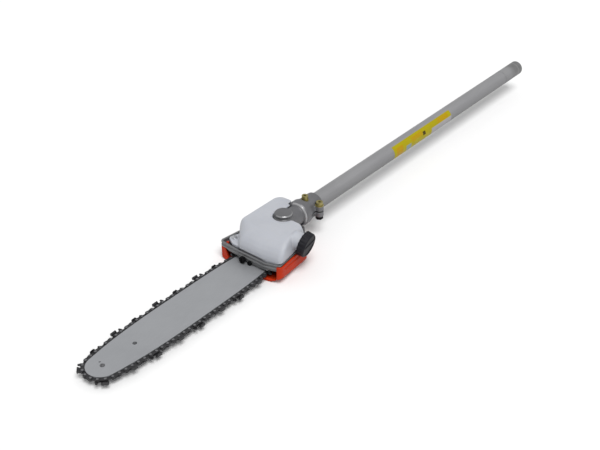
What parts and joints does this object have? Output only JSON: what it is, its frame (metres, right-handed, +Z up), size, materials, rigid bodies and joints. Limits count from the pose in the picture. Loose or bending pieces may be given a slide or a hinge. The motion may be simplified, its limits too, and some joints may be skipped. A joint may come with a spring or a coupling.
{
  "type": "pole saw attachment",
  "caption": "Chain saw head with guide bar, oil tank and bevel gear case, clamped to a fixed aluminium pole that holds its drive shaft.",
  "frame": {"origin": "centre of the pole's coupling end face, on the pole's axis", "axes": "+X along the pole, out of its coupling end; +Z up, towards the oil tank's top, square to the guide bar; the oil cap faces -Y"},
  "size_m": [1.0686, 0.1253, 0.0668],
  "materials": {
    "cast_grey": "satin, as cast",
    "cast_light": "satin, as cast",
    "orange_plastic": "semi-gloss moulded",
    "tank_plastic": "milky translucent",
    "black_plastic": "fine-grained",
    "black_rubber": "matte",
    "pole_aluminium": "drawn and anodised",
    "label_yellow": "vinyl film",
    "bar_steel": "ground and lacquered",
    "chain_steel": "oil-blackened with bright edges",
    "rivet_steel": "polished",
    "gear_steel": "case-hardened",
    "bearing_steel": "ground",
    "zinc_yellow": "yellow zinc plating",
    "zinc_bright": "bright zinc plating",
    "black_steel": "black oxide",
    "filter_felt": "sintered felt",
    "shaft_steel": "drawn"
  },
  "bodies": {
    "head": {"gear_case": "cast_grey", "base_plate": "cast_light", "sprocket_cover": "orange_plastic", "cover_nuts": "zinc_bright", "bar_studs": "gear_steel", "case_screws": "black_steel", "tank_screws": "zinc_bright", "oil_tank": "tank_plastic", "oil_hose": "black_rubber", "oil_filter": "filter_felt", "outlet_grommet": "black_rubber", "tank_vent": "black_rubber", "pole_tube": "pole_aluminium", "pole_label": "label_yellow", "shaft_bushes": "black_plastic", "locating_screw": "zinc_yellow", "clamp_bolt": "zinc_yellow", "clamp_nut": "black_steel", "pinion_circlip": "black_steel", "bearing_outer_rings": "bearing_steel", "bearing_balls": "bearing_steel", "shaft_seal": "black_rubber", "pump_body": "cast_light"},
    "input": {"drive_shaft": "shaft_steel", "pinion_gear": "gear_steel", "pinion_inner_rings": "bearing_steel"},
    "output": {"output_gear": "gear_steel", "output_shaft": "shaft_steel", "output_inner_rings": "bearing_steel", "chain_sprocket": "gear_steel", "sprocket_washer": "zinc_bright", "sprocket_clip": "black_steel", "pump_worm": "black_steel"},
    "plunger": {"pump_plunger": "gear_steel"},
    "bar": {"bar_upper_plate": "bar_steel", "bar_lower_plate": "bar_steel", "bar_core": "bar_steel", "nose_race": "gear_steel", "nose_rivets": "rivet_steel", "drive_link_set": "chain_steel", "tie_strap_set": "chain_steel", "right_cutters": "chain_steel", "left_cutters": "chain_steel", "chain_rivets": "rivet_steel", "tension_block": "gear_steel"},
    "star": {"nose_star": "gear_steel"},
    "tensioner": {"tension_screw": "black_steel"},
    "flow_screw": {"oil_flow_screw": "black_steel"},
    "cap_seal": {"cap_gasket": "black_rubber"},
    "cap": {"oil_cap": "black_plastic"}
  },
  "joints": [
    {"name": "output_spin", "type": "hinge", "parent": "head", "child": "output", "pos_m": [-0.6902, 0, -0.0322], "axis": [0, 0, 1], "continuous": true},
    {"name": "input_spin", "type": "hinge", "parent": "head", "child": "input", "pos_m": [0, 0, 0], "axis": [1, 0, 0], "continuous": true},
    {"name": "pump_spin", "type": "hinge", "parent": "head", "child": "plunger", "pos_m": [-0.69958, 0, -0.026], "axis": [0, 1, 0], "continuous": true},
    {"name": "bar_slide", "type": "slide", "parent": "head", "child": "bar", "axis": [1, 0, 0], "range_m": [0, 0.004]},
    {"name": "star_spin", "type": "hinge", "parent": "bar", "child": "star", "pos_m": [-1.04, 0, -0.0322], "axis": [0, 0, 1], "continuous": true},
    {"name": "tension_turn", "type": "hinge", "parent": "head", "child": "tensioner", "pos_m": [-0.7683, 0.009, -0.0236], "axis": [1, 0, 0], "range_deg": [-1800, 0]},
    {"name": "flow_turn", "type": "hinge", "parent": "head", "child": "flow_screw", "pos_m": [-0.7668, -0.002, -0.0265], "axis": [-1, 0, 0], "range_deg": [-135, 135]},
    {"name": "cap_lift", "type": "slide", "parent": "head", "child": "cap_seal", "axis": [0.1536, -0.9695, -0.1908], "range_m": [0, 0.006]},
    {"name": "cap_turn", "type": "hinge", "parent": "cap_seal", "child": "cap", "pos_m": [-0.7131, -0.0531, 0.0011], "axis": [0.1536, -0.9695, -0.1908], "range_deg": [0, 720]}
  ],
  "couplings": [
    {"joint": "input_spin", "follows": "output_spin", "ratio": 1.3333},
    {"joint": "pump_spin", "follows": "output_spin", "ratio": -0.125},
    {"joint": "star_spin", "follows": "output_spin", "ratio": 0.75},
    {"joint": "tension_turn", "follows": "bar_slide", "rad_per_m": -7854},
    {"joint": "cap_lift", "follows": "cap_turn", "m_per_rad": 0.00047746}
  ]
}
